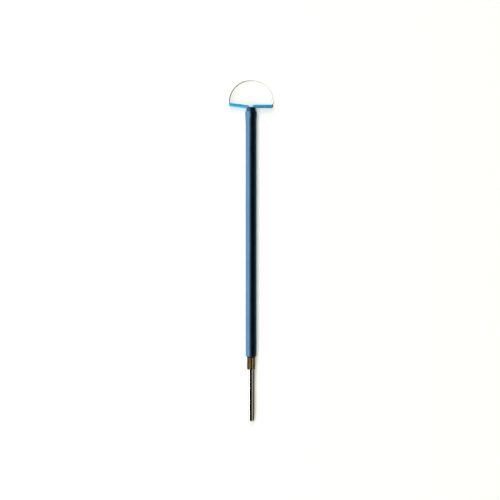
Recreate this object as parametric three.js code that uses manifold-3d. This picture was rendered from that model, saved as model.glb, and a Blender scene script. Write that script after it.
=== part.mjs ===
// Disposable electrosurgical loop electrode (the kind used for large loop excision), lying flat.
// A steel contact rod plugs into a handpiece at the rear and runs inside an insulated shaft.
// At the front it feeds two insulated steel arms, and a thin wire loop is stretched between them.
//
// Millimetres. +Y runs along the shaft towards the loop, +Z is up, and the loop lies in the XY plane.
// The origin is the centre of the contact rod's rear end face.
import * as THREE from "three";
import { mergeVertices } from "three/addons/utils/BufferGeometryUtils.js";
import Module from "manifold-3d";

// ---- driving dimensions ----
const ROD_D = 2.8;
const ROD_EXPOSED = 23.4; // length that enters the handpiece
const ROD_END_FLAT_D = 1.9; // flat left by the rounded rear end
const ROD_END_ROUND = 0.44;
const FERRULE_D = 3.4;
const FERRULE_EXPOSED = 5.9;
const FERRULE_FLARE = 0.05; // the rear end of the ferrule is belled by this much on radius
const TUBE_D = 4.86;
const TUBE_BORE_D = 3.9;
const TUBE_LENGTH = 110.8;
const TUBE_EDGE = 0.18; // chamfer on the tube's rear end
const FLARE_D = 5.36; // the front end of the tube is stretched over the neck plug
const FLARE_BORE_D = 4.38;
const FLARE_BORE_DEPTH = 2;
const FLARE_TAPER_DEPTH = 5.5; // where the flared bore has narrowed to the tube's own bore
const NECK_D = 4.3;
const NECK_LENGTH = 1.85; // neck plug standing out of the tube
const NECK_DEPTH = 6; // neck plug inside the tube
const SEAL_DEPTH = 4; // rear adhesive inside the tube
const SEAL_PROUD = 0.45; // rear adhesive standing out of the tube
const SLEEVE_D = 1.5;
const SLEEVE_BORE_D = 0.9;
const ARM_WIRE_D = 0.8;
const ARM_HEIGHT = 2.3; // arm centreline above the tube's front end
const LOOP_WIDTH = 20; // over the outside of the loop's legs
const LOOP_DEPTH = 12; // from the arm centreline to the outside of the loop's top
const LOOP_WIRE_D = 0.36;
const WELD_BEAD_D = 0.84;
const WELD_INSET = 0.13; // weld bead's centre inside the loop leg's centreline
const REAR_FERRULE_INSERT = 8; // rear ferrule inside the tube
const FRONT_FERRULE_LENGTH = 12.5;
const FRONT_FERRULE_SETBACK = 7.5; // its front end behind the tube's front end
const ARM_WIRE_INSERT = 4.8; // arm wires inside the front ferrule
const SLEEVE_STANDOFF = 0.5; // sleeves' rear ends ahead of the front ferrule
const LINER_STANDOFF = 0.5; // liner's ends clear of the ferrules
const GAP = 0.02; // running gap between nested pieces

// The flare's outline as [distance behind the tube's front end, radius added to the tube's].
const FLARE_OUTLINE = [
  [7, 0],
  [3.4, 0.07],
  [1.8, 0.2],
  [0.9, (FLARE_D - TUBE_D) / 2],
  [0.3, 0.22],
  [0, 0.07],
];

// The neck plug's domed top as [distance below the top, radius taken off the neck's].
const NECK_CROWN = [
  [0.45, 0],
  [0.2, 0.08],
  [0.05, 0.25],
  [0, 0.5],
];

// Each arm as it was bent by hand: side is 1 for right and -1 for left, tilt is in degrees above
// square to the shaft, lift is how much higher than ARM_HEIGHT its bend ends, bendRadius is on the
// centreline, and sleeveReach is along X to the sleeve's end.
const LEFT_ARM = { name: "left", side: -1, tilt: 7, lift: 0, bendRadius: 1.5, sleeveReach: 9.98 };
const RIGHT_ARM = { name: "right", side: 1, tilt: 0, lift: 0.14, bendRadius: 0.9, sleeveReach: 9.6 };
const ARMS = [LEFT_ARM, RIGHT_ARM];

// ---- stations along the shaft, from the rear end ----
const Y_SHOULDER = ROD_EXPOSED;
const Y_TUBE_REAR = Y_SHOULDER + FERRULE_EXPOSED;
const Y_TUBE_FRONT = Y_TUBE_REAR + TUBE_LENGTH;
const Y_ARMS = Y_TUBE_FRONT + ARM_HEIGHT;
const Y_NECK_TOP = Y_TUBE_FRONT + NECK_LENGTH;
const Y_REAR_FERRULE_FRONT = Y_TUBE_REAR + REAR_FERRULE_INSERT;
const Y_FRONT_FERRULE_FRONT = Y_TUBE_FRONT - FRONT_FERRULE_SETBACK;
const Y_FRONT_FERRULE_REAR = Y_FRONT_FERRULE_FRONT - FRONT_FERRULE_LENGTH;
const Y_ROD_FRONT = Y_FRONT_FERRULE_FRONT - ARM_WIRE_INSERT;
const Y_SLEEVE_REAR = Y_FRONT_FERRULE_FRONT + SLEEVE_STANDOFF;
const ARM_OFFSET = (SLEEVE_D + GAP) / 2; // each arm's distance from the axis inside the shaft
const LOOP_RADIUS = (LOOP_WIDTH - LOOP_WIRE_D) / 2; // on the wire's centreline
const Y_ARC_CENTRE = Y_ARMS + LOOP_DEPTH - LOOP_WIDTH / 2;
const ARM_WIRE_REACH = LOOP_RADIUS - LOOP_WIRE_D / 2 - GAP; // along X to the end of an arm's wire
const WELD_X = LOOP_RADIUS - WELD_INSET; // weld beads' distance from the axis

// ---- smoothness ----
const ROUND_SIDES = 48;
const TUBE_SIDES = 24; // few enough for the tube to lie still on one of its flats
const SLEEVE_SIDES = 16;
const WIRE_SIDES = 8;

// ---- colours as [hex, roughness, metalness] ----
const STEEL = [0xb9bcbf, 0.28, 1];
const BRASS = [0xa98a4e, 0.34, 1];
const TUBE_BLUE = [0x35547f, 0.5, 0];
const SEAL_NAVY = [0x10355f, 0.35, 0];
const SLEEVE_CYAN = [0x1d9fd0, 0.45, 0];
const TUNGSTEN = [0x8e8d8a, 0.35, 1];
const WELD_GREY = [0x6e6f70, 0.45, 1];
const LINER_WHITE = [0xe4e4de, 0.6, 0];
const SOLDER = [0xaeb0b2, 0.4, 1];
const ADHESIVE = [0x2a2824, 0.5, 0];

const wasm = await Module();
wasm.setup();

// ---- geometry helpers ----

// A solid turned about the Y axis from [radius, y] points, with one of its flats facing down.
function turned(profile, sides = ROUND_SIDES) {
  return new THREE.LatheGeometry(
    profile.map(([radius, y]) => new THREE.Vector2(radius, y)),
    sides,
    Math.PI / sides,
  );
}

// A round bar between two stations.
function bar(radius, yRear, yFront) {
  return turned([
    [0, yRear],
    [radius, yRear],
    [radius, yFront],
    [0, yFront],
  ]);
}

// A straight tube between two stations, with its outer edges broken by a small chamfer.
function ring(inner, outer, yRear, yFront, chamfer = 0.08) {
  return turned([
    [inner, yRear],
    [outer - chamfer, yRear],
    [outer, yRear + chamfer],
    [outer, yFront - chamfer],
    [outer - chamfer, yFront],
    [inner, yFront],
    [inner, yRear],
  ]);
}

// A curve through given stations that an extrusion samples exactly at each of them.
class StationCurve extends THREE.Curve {
  constructor(stations) {
    super();
    this.stations = stations;
  }
  getPoint(t, target = new THREE.Vector3()) {
    const along = t * (this.stations.length - 1);
    const i = Math.min(Math.floor(along), this.stations.length - 2);
    return target.lerpVectors(this.stations[i], this.stations[i + 1], along - i);
  }
  getPointAt(u, target) {
    return this.getPoint(u, target);
  }
  getTangentAt(u, target) {
    return this.getTangent(u, target);
  }
}

// A circle as a shape with straight sides.
function circle(radius, sides, kind = THREE.Shape) {
  const corners = Array.from({ length: sides }, (_, i) => {
    const angle = (2 * Math.PI * i) / sides;
    return new THREE.Vector2(radius * Math.cos(angle), radius * Math.sin(angle));
  });
  return new kind(corners);
}

// A round section swept through stations, with an optional bore.
function swept(stations, radius, sides, boreRadius = 0) {
  const section = circle(radius, sides);
  if (boreRadius > 0) section.holes.push(circle(boreRadius, sides, THREE.Path));
  return new THREE.ExtrudeGeometry(section, {
    steps: stations.length - 1,
    bevelEnabled: false,
    extrudePath: new StationCurve(stations),
  });
}

// A closed geometry as a manifold-3d solid.
function solidOf(geometry) {
  const bare = geometry.clone();
  bare.deleteAttribute("normal");
  bare.deleteAttribute("uv");
  const merged = mergeVertices(bare, 1e-4);
  return new wasm.Manifold(
    new wasm.Mesh({
      numProp: 3,
      vertProperties: new Float32Array(merged.attributes.position.array),
      triVerts: new Uint32Array(merged.index.array),
    }),
  );
}

// The first geometry with the others cut out of it.
function cut(geometry, ...tools) {
  const solid = tools.reduce((left, tool) => left.subtract(solidOf(tool)), solidOf(geometry));
  const mesh = solid.getMesh();
  const made = new THREE.BufferGeometry();
  made.setAttribute("position", new THREE.BufferAttribute(mesh.vertProperties, 3));
  made.setIndex(new THREE.BufferAttribute(mesh.triVerts, 1));
  made.computeVertexNormals();
  return made;
}

// ---- routes of the bent pieces ----

// An arm's centreline: up the shaft from yRear, round its bend, then out to reach along X.
function armRoute({ side, tilt, lift, bendRadius }, yRear, reach) {
  const slope = Math.tan(THREE.MathUtils.degToRad(tilt));
  const turn = THREE.MathUtils.degToRad(90 - tilt);
  const bendSteps = 9;
  const stations = [[ARM_OFFSET, yRear]];
  for (let i = 0; i <= bendSteps; i++) {
    const angle = (turn * i) / bendSteps;
    stations.push([
      ARM_OFFSET + bendRadius * (1 - Math.cos(angle)),
      Y_ARMS + lift - bendRadius * (1 - Math.sin(angle)),
    ]);
  }
  const [xOut, yOut] = stations.at(-1);
  stations.push([reach, yOut + (reach - xOut) * slope]);
  return stations.map(([x, y]) => new THREE.Vector3(side * x, y, 0));
}

// Where an arm's centreline meets the loop's leg.
function armTip(arm) {
  return armRoute(arm, Y_SLEEVE_REAR, LOOP_RADIUS).at(-1);
}

// The loop's centreline: a leg, a half circle and the other leg, starting at the left arm's tip.
function loopRoute() {
  const arcSteps = 36;
  const stations = [armTip(LEFT_ARM)];
  for (let i = 0; i <= arcSteps; i++) {
    const angle = Math.PI - (Math.PI * i) / arcSteps;
    stations.push(
      new THREE.Vector3(
        LOOP_RADIUS * Math.cos(angle),
        Y_ARC_CENTRE + LOOP_RADIUS * Math.sin(angle),
        0,
      ),
    );
  }
  stations.push(armTip(RIGHT_ARM));
  return stations;
}

// ---- the pieces ----

// The steel rod that plugs into the handpiece and runs up the shaft.
function contactRod() {
  const radius = ROD_D / 2;
  const flat = ROD_END_FLAT_D / 2;
  const profile = [[0, 0]];
  const roundSteps = 5;
  for (let i = 0; i <= roundSteps; i++) {
    const angle = (Math.PI / 2) * (i / roundSteps);
    profile.push([
      flat + (radius - flat) * Math.sin(angle),
      ROD_END_ROUND * (1 - Math.cos(angle)),
    ]);
  }
  profile.push([radius, Y_ROD_FRONT], [0, Y_ROD_FRONT]);
  return turned(profile);
}

// The brass ferrule that centres the rod in the tube's rear end; its shoulder meets the handpiece.
function rearFerrule() {
  const bore = ROD_D / 2 + GAP;
  const outer = FERRULE_D / 2;
  const edge = 0.1;
  const straight = 0.6; // of the exposed length, next to the tube
  return turned([
    [bore, Y_SHOULDER],
    [outer + FERRULE_FLARE - edge, Y_SHOULDER],
    [outer + FERRULE_FLARE, Y_SHOULDER + edge],
    [outer, Y_TUBE_REAR - straight],
    [outer, Y_REAR_FERRULE_FRONT],
    [bore, Y_REAR_FERRULE_FRONT],
    [bore, Y_SHOULDER],
  ]);
}

// The bead of adhesive that closes the gap between the rear ferrule and the tube.
function rearSealRing() {
  const inner = FERRULE_D / 2 + GAP;
  const outer = TUBE_BORE_D / 2 - GAP;
  const lip = 0.06;
  return turned([
    [inner, Y_TUBE_REAR - SEAL_PROUD],
    [inner + lip, Y_TUBE_REAR - SEAL_PROUD],
    [outer, Y_TUBE_REAR - GAP],
    [outer, Y_TUBE_REAR + SEAL_DEPTH],
    [inner, Y_TUBE_REAR + SEAL_DEPTH],
    [inner, Y_TUBE_REAR - SEAL_PROUD],
  ]);
}

// The thick blue insulation tube, stretched wider at the front by the neck plug.
function insulationTube() {
  const outer = TUBE_D / 2;
  const bore = TUBE_BORE_D / 2;
  const profile = [
    [bore, Y_TUBE_REAR],
    [outer - TUBE_EDGE, Y_TUBE_REAR],
    [outer, Y_TUBE_REAR + TUBE_EDGE],
    ...FLARE_OUTLINE.map(([behind, added]) => [outer + added, Y_TUBE_FRONT - behind]),
    [FLARE_BORE_D / 2, Y_TUBE_FRONT],
    [FLARE_BORE_D / 2, Y_TUBE_FRONT - FLARE_BORE_DEPTH],
    [bore, Y_TUBE_FRONT - FLARE_TAPER_DEPTH],
    [bore, Y_TUBE_REAR],
  ];
  return turned(profile, TUBE_SIDES);
}

// The liner that fills the space round the rod between the two ferrules.
function innerLiner() {
  const slack = 0.1;
  return ring(
    ROD_D / 2 + GAP,
    TUBE_BORE_D / 2 - slack,
    Y_REAR_FERRULE_FRONT + LINER_STANDOFF,
    Y_FRONT_FERRULE_REAR - LINER_STANDOFF,
  );
}

// The crimp ferrule that joins the rod's front end to the two arm wires.
function frontFerrule() {
  return ring(ROD_D / 2 + GAP, FERRULE_D / 2, Y_FRONT_FERRULE_REAR, Y_FRONT_FERRULE_FRONT);
}

// The braze that fills the front ferrule round the arm wires.
function brazeFill() {
  const wires = ARMS.map((arm) =>
    swept(armRoute(arm, Y_ROD_FRONT, LOOP_RADIUS), ARM_WIRE_D / 2 + GAP, SLEEVE_SIDES),
  );
  const recess = 0.4; // of the braze below the ferrule's front end
  return cut(bar(ROD_D / 2, Y_ROD_FRONT + GAP, Y_FRONT_FERRULE_FRONT - recess), ...wires);
}

// One arm's steel wire, from the front ferrule out to its tip.
function armWire(arm) {
  const standoff = 0.3; // from the rod's front end
  const route = armRoute(arm, Y_ROD_FRONT + standoff, ARM_WIRE_REACH);
  return swept(route, ARM_WIRE_D / 2, SLEEVE_SIDES);
}

// One arm's insulating sleeve. Its end is notched where the loop's leg would touch it.
function armSleeve(arm) {
  const route = armRoute(arm, Y_SLEEVE_REAR, arm.sleeveReach);
  const sleeve = swept(route, SLEEVE_D / 2, SLEEVE_SIDES, SLEEVE_BORE_D / 2);
  const legInside = LOOP_RADIUS - LOOP_WIRE_D / 2 - 2 * GAP;
  if (arm.sleeveReach < legInside) return sleeve;
  const notchLength = 1; // past the sleeve's end
  const notch = new THREE.BoxGeometry(notchLength, SLEEVE_D, LOOP_WIRE_D + 4 * GAP);
  const notchX = arm.side * (legInside + notchLength / 2);
  notch.translate(notchX, armTip(arm).y + SLEEVE_D / 2, 0);
  return cut(sleeve, notch);
}

// The potted plug that closes the shaft's front end round the two sleeves.
function neckPlug() {
  const inside = TUBE_BORE_D / 2 - GAP;
  const outer = NECK_D / 2;
  const body = turned([
    [0, Y_TUBE_FRONT - NECK_DEPTH],
    [inside, Y_TUBE_FRONT - NECK_DEPTH],
    [inside, Y_TUBE_FRONT - FLARE_TAPER_DEPTH + 0.1],
    [outer, Y_TUBE_FRONT - FLARE_BORE_DEPTH + 0.1],
    ...NECK_CROWN.map(([below, off]) => [outer - off, Y_NECK_TOP - below]),
    [0, Y_NECK_TOP],
  ]);
  const cutRear = Y_TUBE_FRONT - NECK_DEPTH - 1;
  const sleeves = ARMS.map((arm) =>
    swept(armRoute(arm, cutRear, LOOP_RADIUS), SLEEVE_D / 2 + 2 * GAP, SLEEVE_SIDES),
  );
  return cut(body, ...sleeves);
}

// The weld bead that joins an arm's wire to the loop's leg.
function weldBead(arm) {
  const [around, upward] = [20, 14]; // faces round the bead and from pole to pole
  const bead = new THREE.SphereGeometry(WELD_BEAD_D / 2, around, upward);
  bead.translate(arm.side * WELD_X, armTip(arm).y, 0);
  const armPath = armRoute(arm, Y_SLEEVE_REAR, ARM_WIRE_REACH + GAP);
  return cut(
    bead,
    swept(armPath, ARM_WIRE_D / 2 + GAP, SLEEVE_SIDES),
    swept(loopRoute(), LOOP_WIRE_D / 2 + GAP, WIRE_SIDES),
  );
}

// ---- assembly ----
const electrode = new THREE.Group();

function add(name, geometry, [color, roughness, metalness]) {
  const material = new THREE.MeshStandardMaterial({ color, roughness, metalness });
  const mesh = new THREE.Mesh(geometry, material);
  mesh.name = name;
  electrode.add(mesh);
}

add("contact_rod", contactRod(), STEEL);
add("rear_ferrule", rearFerrule(), BRASS);
add("rear_seal_ring", rearSealRing(), ADHESIVE);
add("insulation_tube", insulationTube(), TUBE_BLUE);
add("inner_liner", innerLiner(), LINER_WHITE);
add("front_ferrule", frontFerrule(), BRASS);
add("braze_fill", brazeFill(), SOLDER);
add("neck_plug", neckPlug(), SEAL_NAVY);
for (const arm of ARMS) {
  add(`${arm.name}_arm_wire`, armWire(arm), STEEL);
  add(`${arm.name}_arm_sleeve`, armSleeve(arm), SLEEVE_CYAN);
  add(`${arm.name}_weld_bead`, weldBead(arm), WELD_GREY);
}
add("loop_wire", swept(loopRoute(), LOOP_WIRE_D / 2, WIRE_SIDES), TUNGSTEN);

export default electrode;
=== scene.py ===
"""Looks for the electrosurgical loop electrode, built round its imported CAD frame. Metres, +Z up."""
from math import cos, exp, pi, radians, sin, tau

import bpy
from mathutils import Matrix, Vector, noise


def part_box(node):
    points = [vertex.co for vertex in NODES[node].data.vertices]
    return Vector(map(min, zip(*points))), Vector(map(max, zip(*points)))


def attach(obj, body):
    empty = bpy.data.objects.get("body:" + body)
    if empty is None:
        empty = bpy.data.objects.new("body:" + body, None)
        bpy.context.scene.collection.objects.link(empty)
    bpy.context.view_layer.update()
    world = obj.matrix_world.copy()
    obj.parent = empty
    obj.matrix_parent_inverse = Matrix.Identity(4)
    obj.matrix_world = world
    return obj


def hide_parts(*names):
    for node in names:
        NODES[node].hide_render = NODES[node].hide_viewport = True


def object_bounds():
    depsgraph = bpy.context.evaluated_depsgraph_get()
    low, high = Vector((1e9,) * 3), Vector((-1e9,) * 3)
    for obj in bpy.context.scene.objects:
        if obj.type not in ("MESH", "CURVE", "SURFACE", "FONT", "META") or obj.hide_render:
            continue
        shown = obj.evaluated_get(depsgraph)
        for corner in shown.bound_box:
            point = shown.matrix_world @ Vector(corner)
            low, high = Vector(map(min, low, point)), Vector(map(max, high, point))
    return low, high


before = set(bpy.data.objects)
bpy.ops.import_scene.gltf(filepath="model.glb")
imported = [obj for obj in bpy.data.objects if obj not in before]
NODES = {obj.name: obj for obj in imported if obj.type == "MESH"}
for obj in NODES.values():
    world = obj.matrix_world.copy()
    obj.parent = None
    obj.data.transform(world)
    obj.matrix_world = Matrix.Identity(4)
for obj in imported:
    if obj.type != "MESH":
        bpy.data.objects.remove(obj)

MM = 0.001
CAD_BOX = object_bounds()


def span(node, axis):
    """A node's lowest and highest place along an axis: 0 is X, 1 is Y and 2 is Z."""
    low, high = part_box(node)
    return low[axis], high[axis]


# ---- places and sizes, most read from the frame, some given ----
ROD_R = span("contact_rod", 2)[1]
FERRULE_R = span("front_ferrule", 2)[1]
FERRULE_REAR, FERRULE_FRONT = span("rear_ferrule", 1)
SEAL_REAR = span("rear_seal_ring", 1)[0]
TUBE_REAR, TUBE_FRONT = span("insulation_tube", 1)
TUBE_R = 2.43 * MM
TUBE_BORE_R = 1.95 * MM
FLARE_R = span("insulation_tube", 2)[1]
FLARE_BORE_R = 2.19 * MM
FLARE_BORE_DEPTH = 2 * MM
FLARE_TAPER_DEPTH = 5.5 * MM  # behind the front end, where the bore is back to TUBE_BORE_R
GAP = 0.02 * MM  # between nested pieces
PLUG_R = span("neck_plug", 2)[1]
PLUG_REAR, PLUG_FRONT = span("neck_plug", 1)
SLEEVE_R = span("right_arm_sleeve", 2)[1]
SLEEVE_BORE_R = 0.45 * MM
SLEEVE_REAR = span("right_arm_sleeve", 1)[0]
RIGHT_ARM_Y = span("right_arm_sleeve", 1)[1] - SLEEVE_R
LEFT_ARM_Y = RIGHT_ARM_Y - 0.14 * MM  # the right arm's bend ends a little higher
LOOP_R_WIRE = span("loop_wire", 2)[1]
LOOP_X = span("loop_wire", 0)[1] - LOOP_R_WIRE
LOOP_TOP = span("loop_wire", 1)[1] - LOOP_R_WIRE
BEAD_R = span("left_weld_bead", 2)[1]
ARM_OFFSET = SLEEVE_R + GAP / 2  # each arm from the axis, inside the shaft


# ---- mesh helpers ----

def piece_from(name, verts, faces, replaced):
    """A finished piece of the object from vertices and faces."""
    mesh = bpy.data.meshes.new(name)
    mesh.from_pydata([tuple(v) for v in verts], [], faces)
    mesh.update()
    mesh.shade_smooth()
    piece = bpy.data.objects.new(name, mesh)
    bpy.context.scene.collection.objects.link(piece)
    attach(piece, "root")
    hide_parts(*replaced)
    return piece


def loft(rings, closed=False):
    """Vertices and faces through equal rings of points. Fans cap the ends, unless closed joins them up."""
    count = len(rings[0])
    verts = [point for ring in rings for point in ring]
    faces = []
    pairs = len(rings) if closed else len(rings) - 1
    for i in range(pairs):
        a, b = i * count, ((i + 1) % len(rings)) * count
        for j in range(count):
            k = (j + 1) % count
            faces.append((a + j, a + k, b + k, b + j))
    if not closed:
        for ring, flip in ((0, False), (len(rings) - 1, True)):
            centre = sum((Vector(p) for p in rings[ring]), Vector()) / count
            verts.append(centre)
            base = ring * count
            for j in range(count):
                k = (j + 1) % count
                corners = (base + k, base + j, len(verts) - 1)
                faces.append(corners[::-1] if flip else corners)
    return verts, faces


def turned(profile, sides, shape=None, closed=False):
    """Rings about the Y axis from (radius, y) points. shape(angle, radius, y) gives a new (radius, y)."""
    rings = []
    for radius, y in profile:
        ring = []
        for j in range(sides):
            angle = tau * j / sides
            r, along = shape(angle, radius, y) if shape else (radius, y)
            ring.append(Vector((r * sin(angle), along, r * cos(angle))))
        rings.append(ring)
    return loft(rings, closed)


def rounded(corners, radius, steps=6):
    """The (radius, y) outline through corners, with each inner corner rounded."""
    out = [corners[0]]
    for before, corner, after in zip(corners, corners[1:], corners[2:]):
        a, b, c = Vector(before), Vector(corner), Vector(after)
        reach = min(radius, (a - b).length * 0.45, (c - b).length * 0.45)
        start = b + (a - b).normalized() * reach
        end = b + (c - b).normalized() * reach
        for i in range(steps + 1):
            t = i / steps
            point = start * (1 - t) ** 2 + b * 2 * t * (1 - t) + end * t ** 2
            out.append((point.x, point.y))
    out.append(corners[-1])
    return out


def between(start, end, steps):
    """Evenly spaced (radius, y) points after start, up to and including end."""
    return [
        (start[0] + (end[0] - start[0]) * i / steps, start[1] + (end[1] - start[1]) * i / steps)
        for i in range(1, steps + 1)
    ]


def swept(route, radius_at, sides):
    """Rings square to a route that lies in the XY plane. radius_at(i, angle) gives the radius."""
    rings = []
    for i, point in enumerate(route):
        ahead = route[min(i + 1, len(route) - 1)]
        behind = route[max(i - 1, 0)]
        tangent = (ahead - behind).normalized()
        side = Vector((tangent.y, -tangent.x, 0))
        ring = []
        for j in range(sides):
            angle = tau * j / sides
            r = radius_at(i, angle)
            ring.append(point + side * r * sin(angle) + Vector((0, 0, r * cos(angle))))
        rings.append(ring)
    return rings


def wobble(x, y, z, scale, seed=0.0):
    """Smooth noise from -1 to 1 at a place in metres; scale is the size of its features."""
    return noise.noise(Vector((x / scale + seed, y / scale, z / scale)))


# ---- material helpers ----

class Paint:
    """A node material with one Principled shader."""

    def __init__(self, name, color, roughness, metallic=0.0):
        self.material = bpy.data.materials.new(name)
        self.material.use_nodes = True
        self.tree = self.material.node_tree
        self.shader = self.tree.nodes["Principled BSDF"]
        self.set("Base Color", (*color, 1))
        self.set("Roughness", roughness)
        self.set("Metallic", metallic)
        self.set("IOR", 1.5)
        self.place = self.node("ShaderNodeTexCoord").outputs["Object"]

    def set(self, socket, value):
        self.shader.inputs[socket].default_value = value

    def node(self, kind, **values):
        made = self.tree.nodes.new(kind)
        for key, value in values.items():
            if hasattr(made, key):
                setattr(made, key, value)
            else:
                made.inputs[key.replace("_", " ")].default_value = value
        return made

    def link(self, source, target):
        self.tree.links.new(source, target)

    def stretched(self, x, y, z):
        """Object coordinates scaled along each axis, so a texture's features become cells of 1/scale."""
        mapping = self.node("ShaderNodeMapping")
        mapping.inputs["Scale"].default_value = (x, y, z)
        self.link(self.place, mapping.inputs["Vector"])
        return mapping.outputs["Vector"]

    def noise(self, where, scale=1.0, detail=4.0, rough=0.6):
        made = self.node("ShaderNodeTexNoise", Scale=scale, Detail=detail, Roughness=rough)
        self.link(where, made.inputs["Vector"])
        return made.outputs["Fac"]

    def ramp(self, value, *stops):
        """A value or colour that follows stops of (position, value or colour)."""
        made = self.node("ShaderNodeValToRGB")
        elements = made.color_ramp.elements
        while len(elements) < len(stops):
            elements.new(0.5)
        for element, (position, color) in zip(elements, stops):
            element.position = position
            element.color = (*color, 1) if isinstance(color, tuple) else (color, color, color, 1)
        self.link(value, made.inputs["Fac"])
        return made.outputs["Color"]

    def bump(self, height, distance, strength=1.0):
        made = self.node("ShaderNodeBump", Strength=strength, Distance=distance)
        self.link(height, made.inputs["Height"])
        if self.shader.inputs["Normal"].links:
            self.link(self.shader.inputs["Normal"].links[0].from_socket, made.inputs["Normal"])
        self.link(made.outputs["Normal"], self.shader.inputs["Normal"])

    def drive(self, socket, value):
        self.link(value, self.shader.inputs[socket])

    def on(self, *objects):
        for o in objects:
            o.data.materials.clear()
            o.data.materials.append(self.material)


# ---- materials ----

def tube_material():
    paint = Paint("tube_blue", (0.0055, 0.029, 0.059), 0.38)
    cloud = paint.noise(paint.stretched(300, 60, 300), detail=5)
    tint = paint.ramp(cloud, (0.3, (0.0048, 0.026, 0.053)), (0.75, (0.0062, 0.032, 0.065)))
    paint.drive("Base Color", tint)
    scuffs = paint.noise(paint.stretched(900, 120, 900))
    paint.drive("Roughness", paint.ramp(scuffs, (0.3, 0.30), (0.7, 0.42)))
    paint.bump(paint.noise(paint.stretched(2600, 260, 2600), detail=6), 0.00002)
    return paint


def plug_material():
    paint = Paint("seal_navy", (0.004, 0.018, 0.06), 0.35)
    paint.set("Specular IOR Level", 0.25)
    cloud = paint.noise(paint.stretched(900, 900, 900))
    tint = paint.ramp(cloud, (0.35, (0.0015, 0.007, 0.02)), (0.65, (0.004, 0.018, 0.046)))
    paint.drive("Base Color", tint)
    paint.drive("Roughness", paint.ramp(cloud, (0.35, 0.38), (0.65, 0.55)))
    paint.bump(paint.noise(paint.stretched(1600, 1600, 1600), detail=5), 0.00008)
    return paint


def sleeve_material():
    paint = Paint("sleeve_cyan", (0.015, 0.42, 0.72), 0.36)
    cloud = paint.noise(paint.stretched(500, 900, 900))
    paint.drive("Base Color", paint.ramp(cloud, (0.3, (0.012, 0.39, 0.68)), (0.7, (0.018, 0.46, 0.77))))
    paint.bump(paint.noise(paint.stretched(1500, 4000, 4000), detail=5), 0.00001)
    return paint


def steel_material():
    paint = Paint("polished_steel", (0.62, 0.60, 0.56), 0.07, metallic=1.0)
    scratches = paint.noise(paint.stretched(1200, 9000, 1200), detail=8, rough=0.7)
    paint.drive("Roughness", paint.ramp(scratches, (0.3, 0.04), (0.75, 0.10)))
    paint.bump(paint.noise(paint.stretched(250, 120, 250), detail=2), 0.00003)
    return paint


def brass_material():
    paint = Paint("ferrule_brass", (0.42, 0.28, 0.12), 0.30, metallic=1.0)
    tarnish = paint.noise(paint.stretched(900, 1400, 900), detail=6)
    paint.drive("Base Color", paint.ramp(tarnish, (0.3, (0.38, 0.245, 0.10)), (0.7, (0.50, 0.345, 0.155))))
    paint.drive("Roughness", paint.ramp(tarnish, (0.3, 0.16), (0.7, 0.28)))
    paint.bump(paint.noise(paint.stretched(200, 12000, 200), detail=3), 0.000008)
    return paint


def tungsten_material():
    """Drawn wire, its colour ramped across the loop from near black on the left leg to pale over the top
    and the right leg.
    """
    paint = Paint("tungsten", (0.3, 0.3, 0.29), 0.5)
    paint.set("Specular IOR Level", 0.2)
    place = paint.node("ShaderNodeSeparateXYZ")
    paint.link(paint.place, place.inputs["Vector"])
    across = paint.node("ShaderNodeMapRange")
    across.inputs["From Min"].default_value = -LOOP_X
    across.inputs["From Max"].default_value = LOOP_X
    paint.link(place.outputs["X"], across.inputs["Value"])
    # painted tone: the ramp sets how dark each part of the loop looks, and the top is made paler to make up
    # for the light it misses as it runs along the light
    tint = paint.ramp(
        across.outputs["Result"],
        (0.0, (0.003, 0.0026, 0.0022)),
        (0.3, (0.05, 0.048, 0.045)),
        (0.5, (0.55, 0.54, 0.52)),
        (0.75, (0.42, 0.415, 0.40)),
    )
    paint.drive("Base Color", tint)
    paint.bump(paint.noise(paint.stretched(6000, 6000, 6000)), 0.000004)
    return paint


def plain_metal(name, color, roughness):
    paint = Paint(name, color, roughness, metallic=1.0)
    grain = paint.noise(paint.stretched(3000, 3000, 3000), detail=6)
    paint.drive("Roughness", paint.ramp(grain, (0.3, roughness * 0.8), (0.7, roughness * 1.3)))
    paint.bump(grain, 0.00001)
    return paint


def plain_plastic(name, color, roughness):
    paint = Paint(name, color, roughness)
    grain = paint.noise(paint.stretched(1500, 1500, 1500), detail=6)
    darker = tuple(c * 0.8 for c in color)
    paint.drive("Base Color", paint.ramp(grain, (0.3, darker), (0.7, color)))
    paint.bump(grain, 0.00001)
    return paint


# ---- pieces ----

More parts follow.
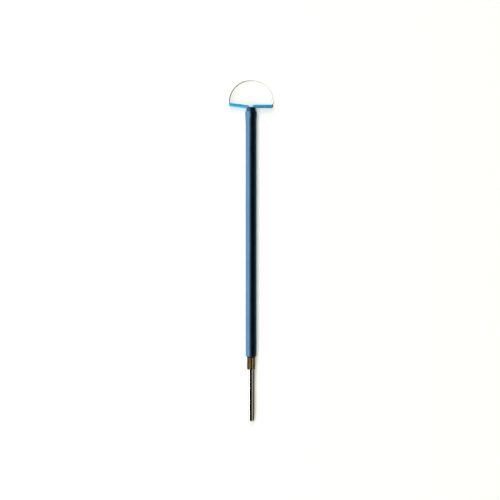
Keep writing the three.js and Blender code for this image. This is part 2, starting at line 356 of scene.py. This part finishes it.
def make_tube(paint):
    """The insulation tube: rounded rims, extrusion ripple, and a front end stretched over the neck plug."""
    steps = 300
    rim = 0.24 * MM

    def outer(y):
        ahead = TUBE_FRONT - y
        swell = (FLARE_R - TUBE_R) * exp(-(ahead / (3.0 * MM)) ** 3)
        return TUBE_R + swell

    profile = [(TUBE_BORE_R, TUBE_REAR + GAP)]
    profile += between(profile[-1], (TUBE_R - rim, TUBE_REAR), 4)
    for i in range(1, 7):
        angle = pi / 2 * i / 6
        profile.append((TUBE_R - rim + rim * sin(angle), TUBE_REAR + rim * (1 - cos(angle))))
    start = TUBE_REAR + rim
    end = TUBE_FRONT - rim
    for i in range(1, steps + 1):
        y = start + (end - start) * i / steps
        profile.append((outer(y), y))
    top = outer(end)
    for i in range(1, 7):
        angle = pi / 2 * i / 6
        profile.append((top - rim + rim * cos(angle), end + rim * sin(angle)))
    profile += between(profile[-1], (FLARE_BORE_R, TUBE_FRONT - GAP), 3)
    profile += between(profile[-1], (FLARE_BORE_R, TUBE_FRONT - FLARE_BORE_DEPTH), 3)
    profile += between(profile[-1], (TUBE_BORE_R, TUBE_FRONT - FLARE_TAPER_DEPTH), 3)
    profile += between(profile[-1], (TUBE_BORE_R, TUBE_REAR + 1 * MM), 20)

    def shape(angle, radius, y):
        if radius < TUBE_R - rim:
            return radius, y
        ripple = 0.012 * MM * wobble(sin(angle) * TUBE_R, y * 0.25, cos(angle) * TUBE_R, 3 * MM)
        ahead = (TUBE_FRONT - y) / MM
        # a shallow pinch and a low swelling where the end was pushed over the plug
        left_of_top = (angle + 0.42 + pi) % tau - pi
        pinch = -0.13 * MM * exp(-((ahead - 2.2) / 0.8) ** 2 - (left_of_top / 0.34) ** 2)
        right_of_top = (angle - 0.12 + pi) % tau - pi
        swelling = 0.09 * MM * exp(-((ahead - 1.1) / 0.7) ** 2 - (right_of_top / 0.45) ** 2)
        return radius + ripple + pinch + swelling, y

    verts, faces = turned(profile, 128, shape, closed=True)
    tube = piece_from("tube", verts, faces, ["insulation_tube"])
    paint.on(tube)
    return tube


def make_rod(paint):
    """The contact rod, with its rounded and polished rear end."""
    flat = 0.95 * MM
    depth = 0.44 * MM
    front = span("contact_rod", 1)[1]
    profile = [(flat * 0.5, 0.0), (flat, 0.0)]
    for i in range(1, 13):
        angle = pi / 2 * i / 12
        profile.append((flat + (ROD_R - flat) * sin(angle), depth * (1 - cos(angle))))
    profile += between(profile[-1], (ROD_R, FERRULE_REAR), 80)
    profile += between(profile[-1], (ROD_R, front), 20)

    def shape(angle, radius, y):
        ripple = 0.004 * MM * wobble(sin(angle) * ROD_R, y * 0.3, cos(angle) * ROD_R, 1.5 * MM, 7.0)
        return radius + (ripple if radius > flat else 0.0), y

    verts, faces = turned(profile, 96, shape)
    rod = piece_from("rod", verts, faces, ["contact_rod"])
    paint.on(rod)
    return rod


def make_ferrule(paint):
    """The turned brass ferrule, slightly belled at its rear end."""
    bore = ROD_R + GAP
    bell = span("rear_ferrule", 2)[1]
    corners = [
        (bore, FERRULE_REAR + 0.05 * MM),
        (bore, FERRULE_REAR),
        (bell, FERRULE_REAR),
        (FERRULE_R, TUBE_REAR - 0.6 * MM),
        (FERRULE_R, FERRULE_FRONT),
        (bore, FERRULE_FRONT),
    ]
    outline = rounded(corners, 0.12 * MM)
    profile = [outline[0]]
    for point in outline[1:]:
        gap = (Vector(point) - Vector(profile[-1])).length
        profile += between(profile[-1], point, max(1, int(gap / (0.12 * MM))))

    def shape(angle, radius, y):
        groove = 0.004 * MM * sin(y / (0.09 * MM)) if radius > FERRULE_R - 0.02 * MM else 0.0
        return radius + groove, y

    verts, faces = turned(profile, 96, shape, closed=True)
    ferrule = piece_from("ferrule", verts, faces, ["rear_ferrule"])
    paint.on(ferrule)
    return ferrule


def make_rear_seal(paint):
    """The near-black ring where the ferrule enters the tube, which shows as a dark band between the tube's
    end and the ferrule.
    """
    inner = FERRULE_R + GAP
    outer = TUBE_BORE_R - GAP
    rear = SEAL_REAR - 0.2 * MM  # it stands this much further out than in the CAD, so its near black shows as a dark band
    front = SEAL_REAR + 4.4 * MM
    profile = [(inner, front), (inner, rear)]
    for i in range(1, 11):
        angle = pi / 2 * i / 10
        profile.append((inner + (outer - inner) * sin(angle), rear + 0.35 * MM * (1 - cos(angle))))
    profile.append((outer, front))

    def shape(angle, radius, y):
        if y == front:
            return radius, y
        return radius, y + 0.05 * MM * wobble(sin(angle), cos(angle), 0, 0.5, 3.0)

    verts, faces = turned(profile, 96, shape, closed=True)
    seal = piece_from("rear_seal", verts, faces, ["rear_seal_ring"])
    paint.on(seal)
    return seal


def arm_route(side, height, tilt, bend, reach):
    """An arm's centreline: up the shaft, round its bend at the given height, then out to one side."""
    turn = radians(90 - tilt)
    step = 0.12 * MM
    points = []
    y = SLEEVE_REAR
    while y < height - bend:
        points.append(Vector((ARM_OFFSET, y, 0)))
        y += step * 3
    bend_steps = 18
    for i in range(bend_steps + 1):
        angle = turn * i / bend_steps
        points.append(Vector((ARM_OFFSET + bend * (1 - cos(angle)), height - bend * (1 - sin(angle)), 0)))
    last = points[-1]
    direction = Vector((sin(turn), cos(turn), 0))
    length = (reach - last.x) / direction.x
    count = int(length / step)
    for i in range(1, count + 1):
        points.append(last + direction * length * i / count)
    return [Vector((side * p.x, p.y, p.z)) for p in points]


ARMS = {
    "left": dict(side=-1, height=LEFT_ARM_Y, tilt=7.0, bend=1.5 * MM, reach=9.98 * MM),
    "right": dict(side=1, height=RIGHT_ARM_Y, tilt=0.0, bend=0.9 * MM, reach=9.6 * MM),
}


def arm_tip(arm):
    """Where an arm's centreline meets the loop's leg."""
    return arm_route(**{**arm, "reach": LOOP_X})[-1]


def make_sleeve(name, arm, paint):
    """An arm's cyan sleeve, hollow, with a rounded outer lip and the slight kinks of hand bending."""
    route = arm_route(**arm)
    side = arm["side"]
    lip = 4

    def outside(i, angle):
        point = route[i]
        radius = SLEEVE_R + 0.018 * MM * wobble(point.x, point.y, angle * 0.2 * MM, 0.9 * MM, side * 5.0)
        kink = exp(-((abs(point.x) - 4.1 * MM) / (0.5 * MM)) ** 2) if side < 0 else 0.0
        radius -= 0.07 * MM * kink * max(0.0, cos(angle))
        from_end = len(route) - 1 - i
        if from_end < lip:
            radius -= 0.10 * MM * (1 - from_end / lip) ** 2
        return radius

    outer = swept(route, outside, 40)
    inner = swept(route, lambda i, angle: SLEEVE_BORE_R, 40)
    rings = outer + inner[::-1]
    verts, faces = loft(rings, closed=True)
    sleeve = piece_from(f"{name}_sleeve", verts, faces, [f"{name}_arm_sleeve"])
    paint.on(sleeve)
    return sleeve


def make_bead(name, arm, paint):
    """The lumpy weld between an arm's wire and the loop."""
    side = arm["side"]
    centre = Vector((side * (LOOP_X - 0.13 * MM), arm_tip(arm).y, 0))
    rings = []
    for i in range(1, 20):
        polar = pi * i / 20
        ring = []
        for j in range(28):
            angle = tau * j / 28
            normal = Vector((sin(polar) * cos(angle), cos(polar), sin(polar) * sin(angle)))
            lump = 1 + 0.05 * noise.noise(normal * 2.3 + Vector((side * 3.0, 0, 0)))
            ring.append(centre + normal * BEAD_R * 0.97 * lump)
        rings.append(ring)
    verts, faces = loft(rings)
    bead = piece_from(f"{name}_bead", verts, faces, [f"{name}_weld_bead"])
    paint.on(bead)
    return bead


def make_loop(paint):
    """The loop: two short legs and a half circle, drawn as one smooth wire."""
    arc_y = LOOP_TOP - LOOP_X
    steps = 120
    route = []
    start_y = arm_tip(ARMS["left"]).y
    end_y = arm_tip(ARMS["right"]).y
    for i in range(8):
        route.append(Vector((-LOOP_X, start_y + (arc_y - start_y) * i / 8, 0)))
    for i in range(steps + 1):
        angle = pi - pi * i / steps
        route.append(Vector((LOOP_X * cos(angle), arc_y + LOOP_X * sin(angle), 0)))
    for i in range(1, 9):
        route.append(Vector((LOOP_X, arc_y + (end_y - arc_y) * i / 8, 0)))
    rings = swept(route, lambda i, angle: LOOP_R_WIRE, 20)
    verts, faces = loft(rings)
    wire = piece_from("loop", verts, faces, ["loop_wire"])
    paint.on(wire)
    return wire


def make_plug(paint):
    """The potted neck plug: a crumpled collar of resin that closes the tube round the sleeves."""
    top = PLUG_FRONT
    crown = 0.5 * MM
    inside = TUBE_BORE_R - GAP
    profile = [(inside, PLUG_REAR)]
    profile += between(profile[-1], (inside, TUBE_FRONT - FLARE_TAPER_DEPTH + 0.1 * MM), 3)
    profile += between(profile[-1], (PLUG_R, TUBE_FRONT - FLARE_BORE_DEPTH + 0.1 * MM), 10)
    profile += between(profile[-1], (PLUG_R, top - crown), 26)
    for i in range(1, 13):
        angle = pi / 2 * i / 12
        profile.append((PLUG_R - crown * (1 - cos(angle)), top - crown + crown * sin(angle)))
    profile += between(profile[-1], (0.1 * MM, top), 8)

    def shape(angle, radius, y):
        if y < TUBE_FRONT - 0.3 * MM:
            return radius, y
        x, z = radius * sin(angle), radius * cos(angle)
        grow = min(1.0, (y - TUBE_FRONT + 0.3 * MM) / (0.5 * MM))
        folds = wobble(x, y, z, 1.1 * MM, 2.0) + 0.6 * abs(wobble(x, y, z, 0.6 * MM, 9.0))
        dip = -0.25 * MM * exp(-(x / (0.5 * MM)) ** 2) if radius < 1.2 * MM else 0.0
        lumps = 0.1 * MM * wobble(x, y, z, 0.8 * MM, 4.0)
        folded = max(radius + grow * 0.16 * MM * (folds - 0.45), GAP)
        return folded, y + dip + grow * lumps

    verts, faces = turned(profile, 96, shape)
    plug = piece_from("plug", verts, faces, ["neck_plug"])
    paint.on(plug)
    return plug


# ---- camera, floor and light ----

CAMERA_HEIGHT = 0.30
VIEW_WIDTH = 0.2268
VIEW_CENTRE = Vector((-0.00045, 0.0774, 0))
FLOOR_Z = CAD_BOX[0][2]


def make_camera():
    data = bpy.data.cameras.new("camera")
    data.sensor_width = 36
    data.lens = 36 * CAMERA_HEIGHT / VIEW_WIDTH
    data.clip_start = 0.01
    camera = bpy.data.objects.new("camera", data)
    camera.location = VIEW_CENTRE + Vector((0, 0, CAMERA_HEIGHT))
    bpy.context.scene.collection.objects.link(camera)
    bpy.context.scene.camera = camera


def make_floor():
    size = 3.0
    mesh = bpy.data.meshes.new("floor")
    corners = [(x * size, y * size, FLOOR_Z) for x, y in ((-1, -1), (1, -1), (1, 1), (-1, 1))]
    mesh.from_pydata(corners, [], [(0, 1, 2, 3)])
    floor = bpy.data.objects.new("floor", mesh)
    bpy.context.scene.collection.objects.link(floor)
    floor.visible_glossy = floor.visible_shadow = False
    paint = Paint("floor", (0.88, 0.88, 0.87), 1.0)
    paint.set("Specular IOR Level", 0.0)
    # beyond the reach of the lights the floor stays pale by a glow of its own
    paint.set("Emission Color", (1, 1, 0.99, 1))
    distance = paint.node("ShaderNodeVectorMath", operation="LENGTH")
    paint.link(paint.place, distance.inputs[0])
    fade = paint.node("ShaderNodeMapRange")
    fade.inputs["From Min"].default_value = 0.3
    fade.inputs["From Max"].default_value = 1.6
    fade.inputs["To Max"].default_value = 0.95
    paint.link(distance.outputs["Value"], fade.inputs["Value"])
    paint.drive("Emission Strength", fade.outputs["Result"])
    paint.on(floor)
    return floor


def glow(name, verts, faces, radiance, color=(1, 1, 1)):
    """A stage surface that shines evenly and is neither lit nor shadowed."""
    mesh = bpy.data.meshes.new(name)
    mesh.from_pydata([tuple(v) for v in verts], [], faces)
    surface = bpy.data.objects.new(name, mesh)
    bpy.context.scene.collection.objects.link(surface)
    surface.visible_diffuse = surface.visible_shadow = False
    paint = Paint(name, (0, 0, 0), 1.0)
    paint.set("Specular IOR Level", 0.0)
    paint.set("Emission Color", (*color, 1))
    paint.set("Emission Strength", radiance)
    paint.on(surface)
    paint.material.cycles.emission_sampling = "NONE"
    return surface


def reflector(name, corners, radiance, receivers, color=(1, 1, 1)):
    """A bright four-cornered panel that only shows as a reflection in its receivers."""
    panel = glow(name, corners, [(0, 1, 2, 3)], radiance, color)
    panel.visible_camera = False
    panel.light_linking.receiver_collection = receivers


def make_backdrop():
    """A pale wall all round, far off, that only the camera sees."""
    radius, height, sides = 2.9, 2.6, 96
    verts, faces = [], []
    for i in range(sides):
        angle = tau * i / sides
        verts += [(radius * cos(angle), radius * sin(angle), z) for z in (FLOOR_Z, height)]
        j = (i + 1) % sides
        faces.append((2 * i, 2 * i + 1, 2 * j + 1, 2 * j))
    glow("backdrop", verts, faces, 0.9, (1, 1, 0.99)).visible_glossy = False


def area_light(name, place, target, size, radiance, receivers, color=(1, 1, 1), shows_in="diffuse"):
    """A soft rectangular light of an even brightness. It shows only in diffuse light, or only in glossy."""
    data = bpy.data.lights.new(name, "AREA")
    data.shape = "RECTANGLE"
    data.size, data.size_y = size
    data.energy = radiance * pi * size[0] * size[1]
    data.color = color
    light = bpy.data.objects.new(name, data)
    light.location = place
    light.rotation_euler = (Vector(target) - Vector(place)).to_track_quat("-Z", "Y").to_euler()
    light.visible_camera = False
    light.visible_diffuse = shows_in == "diffuse"
    light.visible_glossy = shows_in == "glossy"
    bpy.context.scene.collection.objects.link(light)
    light.light_linking.receiver_collection = receivers


def light_group(name, objects):
    group = bpy.data.collections.new(name)
    for o in objects:
        group.objects.link(o)
    return group


def make_world():
    world = bpy.data.worlds.new("world")
    bpy.context.scene.world = world
    world.use_nodes = True
    background = world.node_tree.nodes["Background"]
    background.inputs["Color"].default_value = (1, 1, 1, 1)
    background.inputs["Strength"].default_value = 0.012


# ---- build ----
steel = steel_material()
brass = brass_material()
cyan = sleeve_material()
weld = plain_metal("weld", (0.10, 0.11, 0.11), 0.45)
rod = make_rod(steel)
ferrule = make_ferrule(brass)
loop = make_loop(tungsten_material())
made = [
    make_tube(tube_material()),
    make_rear_seal(plain_plastic("adhesive", (0.001, 0.001, 0.001), 0.9)),
    make_plug(plug_material()),
]
sleeves = []
for arm_name, arm in ARMS.items():
    sleeves.append(make_sleeve(arm_name, arm, cyan))
    made.append(make_bead(arm_name, arm, weld))

arm_steel = plain_metal("arm_steel", (0.45, 0.45, 0.44), 0.3)
arm_steel.on(NODES["left_arm_wire"], NODES["right_arm_wire"])
brass.on(NODES["front_ferrule"])
plain_metal("braze", (0.5, 0.5, 0.48), 0.4).on(NODES["braze_fill"])
plain_plastic("liner", (0.75, 0.75, 0.72), 0.6).on(NODES["inner_liner"])

make_camera()
floor = make_floor()
make_backdrop()
make_world()
hidden = list(NODES.values())
lit = light_group("lit_pieces", made + sleeves + [ferrule, rod, loop] + hidden)
keyed = light_group("keyed_pieces", made + [ferrule, rod, loop] + hidden)
arms_only = light_group("arms_only", sleeves)
plastics = light_group("plastic_pieces", made + sleeves + hidden)
glossy = light_group("glossy_pieces", made + sleeves + [rod] + hidden)
metals = light_group("metal_pieces", [rod, ferrule])
dull = light_group("dull_pieces", [ferrule, loop])
rod_only = light_group("rod_only", [rod])
bounced = light_group("bounced_pieces", made)
floor_only = light_group("floor_only", [floor])


def beside(x, y, z):
    """A place in metres from the point on the floor under the middle of the view."""
    return Vector((x, VIEW_CENTRE.y + y, FLOOR_Z + z))


def upright(x, low, high, reach=1.5):
    """The corners of a panel that stands along Y at x."""
    return [beside(x, -reach, low), beside(x, reach, low), beside(x, reach, high), beside(x, -reach, high)]


def flat(x_from, x_to, y_from, y_to):
    """The corners of a panel just below the floor, facing up."""
    z = -0.001
    corners = (x_from, y_from), (x_to, y_from), (x_to, y_to), (x_from, y_to)
    return [beside(x, y, z) for x, y in corners]


# a hard, low key from the left shapes the pieces
KEY = dict(place=beside(-0.8, 0, 0.07), target=beside(0, 0, 0), size=(0.5, 0.16))
area_light("key", radiance=250.0, receivers=keyed, **KEY)
# light that comes back up from the table, on the side turned away from the key
area_light("bounce", beside(0.5, 0, -0.55), beside(0, 0, 0), (2.0, 0.3), 22.0, bounced)
# the arms lie along the light, so they take less of it and some from above
area_light("arm_key", radiance=108.0, receivers=arms_only, **KEY)
area_light("arm_top", beside(0, 0.06, 0.8), beside(0, 0.06, 0), (0.6, 0.6), 3.7, arms_only)
# the floor is lit from overhead, mostly from left of the middle
for name, left, right, radiance, color in (
    ("ceiling", -0.82, -0.04, 3.6, (1, 1, 1)),
    ("ceiling_warm", -0.04, 0.22, 3.6, (1, 1, 0.8)),
    ("ceiling_wide", -2.6, 0.0, 0.4, (1, 1, 1)),
):
    x = (left + right) / 2
    size = (right - left, 8.0)
    area_light(name, beside(x, 0, 1.5), beside(x, 0, 0), size, radiance, floor_only, color)
# the dull pieces reflect a dim panel that leans over from the left
DIM = dict(place=beside(-0.44, 0, 0.53), target=beside(0, 0, 0), size=(3.0, 0.6))
area_light("dim_panel", radiance=0.42, receivers=dull, shows_in="glossy", **DIM)

# what the pieces reflect: a bright panel on the left, a dim one on the right, and the floor
reflector("panel_foot", upright(-0.8, 0.0, 0.14), 1.2, glossy)
reflector("panel_low", upright(-0.8, 0.14, 0.46), 5.2, glossy)
reflector("panel_high", upright(-0.8, 0.46, 1.15), 5.2, plastics)
reflector("right_panel", upright(0.8, 0.34, 1.0), 0.72, metals, (1, 0.94, 0.82))
# the floor's reflection starts a little way out, so the lower sides stay dark
NEAR, MIDDLE, FAR = 0.005, 0.03, 0.7
UNDER_ROD = 0.0013
reflector("floor_right_near", flat(NEAR, MIDDLE, -FAR, FAR), 0.2, plastics, (1, 0.94, 0.75))
reflector("floor_right", flat(MIDDLE, FAR, -FAR, FAR), 0.5, lit, (1, 0.94, 0.82))
reflector("floor_left_near", flat(-NEAR, -UNDER_ROD, -FAR, FAR), 1.2, rod_only)
reflector("floor_left_middle", flat(-MIDDLE, -NEAR, -FAR, FAR), 1.0, glossy)
reflector("floor_left", flat(-FAR, -MIDDLE, -FAR, FAR), 1.0, lit)
reflector("floor_rear", flat(-NEAR, NEAR, -FAR, -0.09), 0.8, lit)
reflector("floor_front", flat(-NEAR, NEAR, 0.09, FAR), 0.8, lit)
# four corner panels give the oblique views something to reflect
CORNER = ((0.45, 0.95, 0.2), (0.8, 0.7, 0.2), (0.7, 0.6, 0.9), (0.4, 0.85, 0.9))
for x in (-1, 1):
    for y in (-1, 1):
        reflector(f"corner_{x}_{y}", [beside(x * a, y * b, z) for a, b, z in CORNER], 1.6, lit)

view = bpy.context.scene.view_settings
view.view_transform = "Standard"
view.look = "None"
